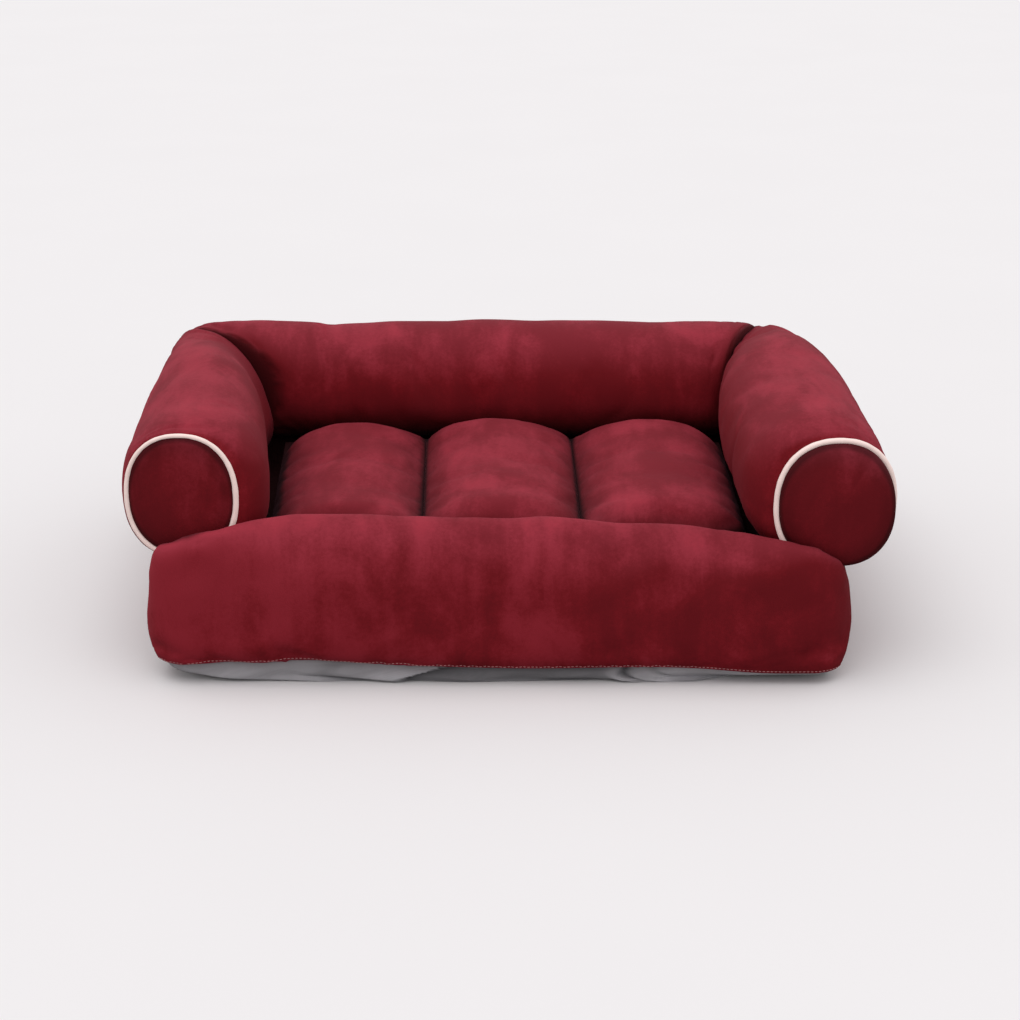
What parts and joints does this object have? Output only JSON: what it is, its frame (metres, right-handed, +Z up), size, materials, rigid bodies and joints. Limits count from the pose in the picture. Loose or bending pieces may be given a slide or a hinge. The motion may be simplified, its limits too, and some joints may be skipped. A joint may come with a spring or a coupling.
{
  "type": "sofa-shaped dog bed",
  "caption": "Sofa-shaped dog bed in plush velvet: channelled seat, plump front rim, back bolster, rolled arms with piped oval ends, grey bottom and rear zip.",
  "frame": {"origin": "on the floor, midway across the bed and midway along its depth", "axes": "+X to the right of someone who faces the bed, -Y out of the front, +Z up"},
  "size_m": [0.8049, 0.5986, 0.27],
  "materials": {
    "velvet": "short burgundy plush velvet",
    "velvet_disc": "the same velvet on the disc panels, nap turned away from the light",
    "piping": "off-white satin piping",
    "bag_cloth": "grey coated bag cloth",
    "fibre": "white polyester fibre",
    "zip_tape": "woven burgundy tape",
    "zip_teeth": "moulded burgundy plastic",
    "zip_metal": "nickel-plated"
  },
  "bodies": {
    "bed": {"base_cover": "velvet", "base_fill": "fibre", "rim_fill": "fibre", "bottom_panel": "bag_cloth", "seat_cover": "velvet", "seat_fill_left": "fibre", "seat_fill_centre": "fibre", "seat_fill_right": "fibre", "back_cover": "velvet", "back_fill": "fibre", "left_arm_cover": "velvet", "left_arm_disc": "velvet_disc", "left_arm_piping": "piping", "left_arm_fill": "fibre", "right_arm_cover": "velvet", "right_arm_disc": "velvet_disc", "right_arm_piping": "piping", "right_arm_fill": "fibre", "zip_tape_upper": "zip_tape", "zip_tape_lower": "zip_tape", "zip_teeth_upper": "zip_teeth", "zip_teeth_lower": "zip_teeth", "zip_stops": "zip_metal"},
    "slider": {"zip_slider": "zip_metal"},
    "pull": {"zip_pull": "zip_metal"}
  },
  "joints": [
    {"name": "zip_slide", "type": "slide", "parent": "bed", "child": "slider", "axis": [-1, 0, 0], "range_m": [0, 0.538], "deforming": ["zip_teeth_upper", "zip_teeth_lower"]},
    {"name": "pull_hinge", "type": "hinge", "parent": "slider", "child": "pull", "pos_m": [0.269, 0.29705, 0.067], "axis": [0, 0, -1], "range_deg": [0, 180]}
  ]
}
